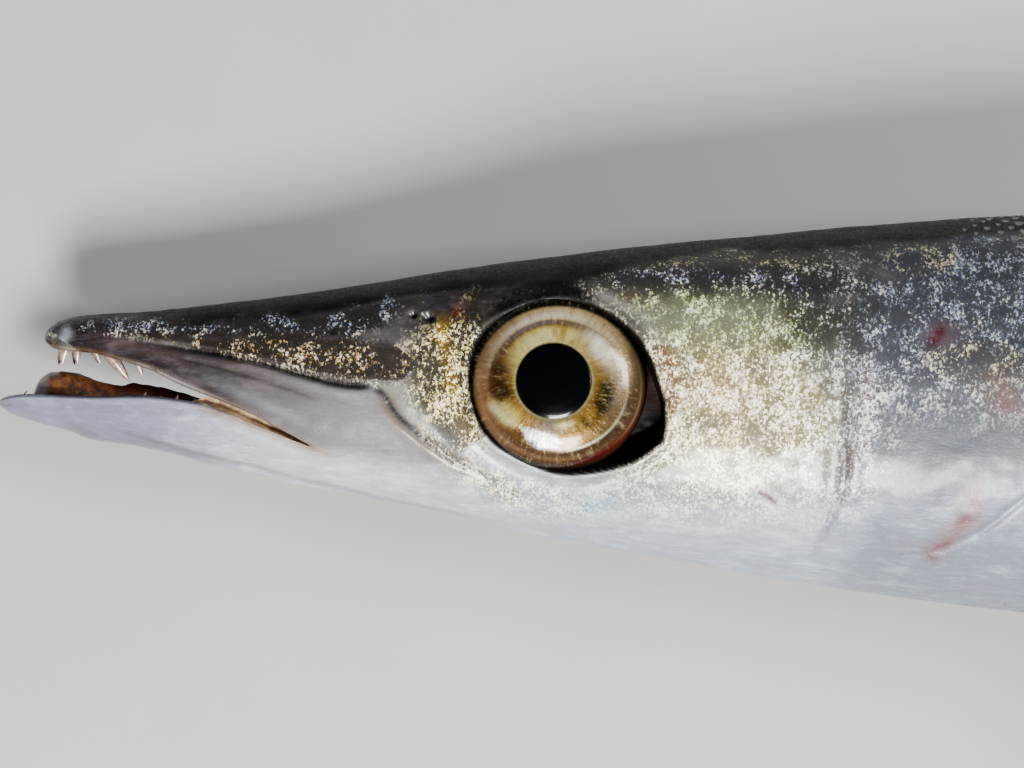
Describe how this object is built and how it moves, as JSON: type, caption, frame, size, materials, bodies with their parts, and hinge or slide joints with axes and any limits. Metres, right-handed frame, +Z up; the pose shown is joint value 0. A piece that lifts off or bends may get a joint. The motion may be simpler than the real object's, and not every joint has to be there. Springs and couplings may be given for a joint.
{
  "type": "barracuda",
  "caption": "Small barracuda lying flat on its right side, long toothed jaws a little open, big round eye, gill covers, slim body and spread fins.",
  "frame": {"origin": "middle of the model's outline seen from above, on the floor that it lies on", "axes": "+X from snout to tail, +Y towards the ridge of the back, +Z up, out of the fish's left side"},
  "size_m": [0.3966, 0.0918, 0.0411],
  "materials": {
    "head_skin": "wet smooth skin, dark on the crown, speckled gold and silver on the cheek",
    "jaw_skin": "wet pale skin with a grey-pink tinge",
    "body_skin": "wet silvery skin with small scales",
    "mouth_flesh": "wet orange-brown flesh",
    "fin_skin": "thin wet membrane over raised rays",
    "eye": "clear dome over a golden iris and a blue-black pupil"
  },
  "bodies": {
    "root": {"head": "head_skin", "upper_jaw": "jaw_skin", "lower_jaw": "jaw_skin", "tongue": "mouth_flesh", "gill_cover_left": "body_skin", "gill_cover_right": "body_skin", "trunk_front": "body_skin", "trunk_rear": "body_skin", "tail_stem": "body_skin", "dorsal_fin_first": "fin_skin", "dorsal_fin_second": "fin_skin", "anal_fin": "fin_skin", "tail_fin_upper": "fin_skin", "tail_fin_lower": "fin_skin", "pectoral_fin_left": "fin_skin", "pectoral_fin_right": "fin_skin", "pelvic_fin_left": "fin_skin", "pelvic_fin_right": "fin_skin", "eye_left": "eye", "eye_right": "eye"}
  },
  "joints": []
}
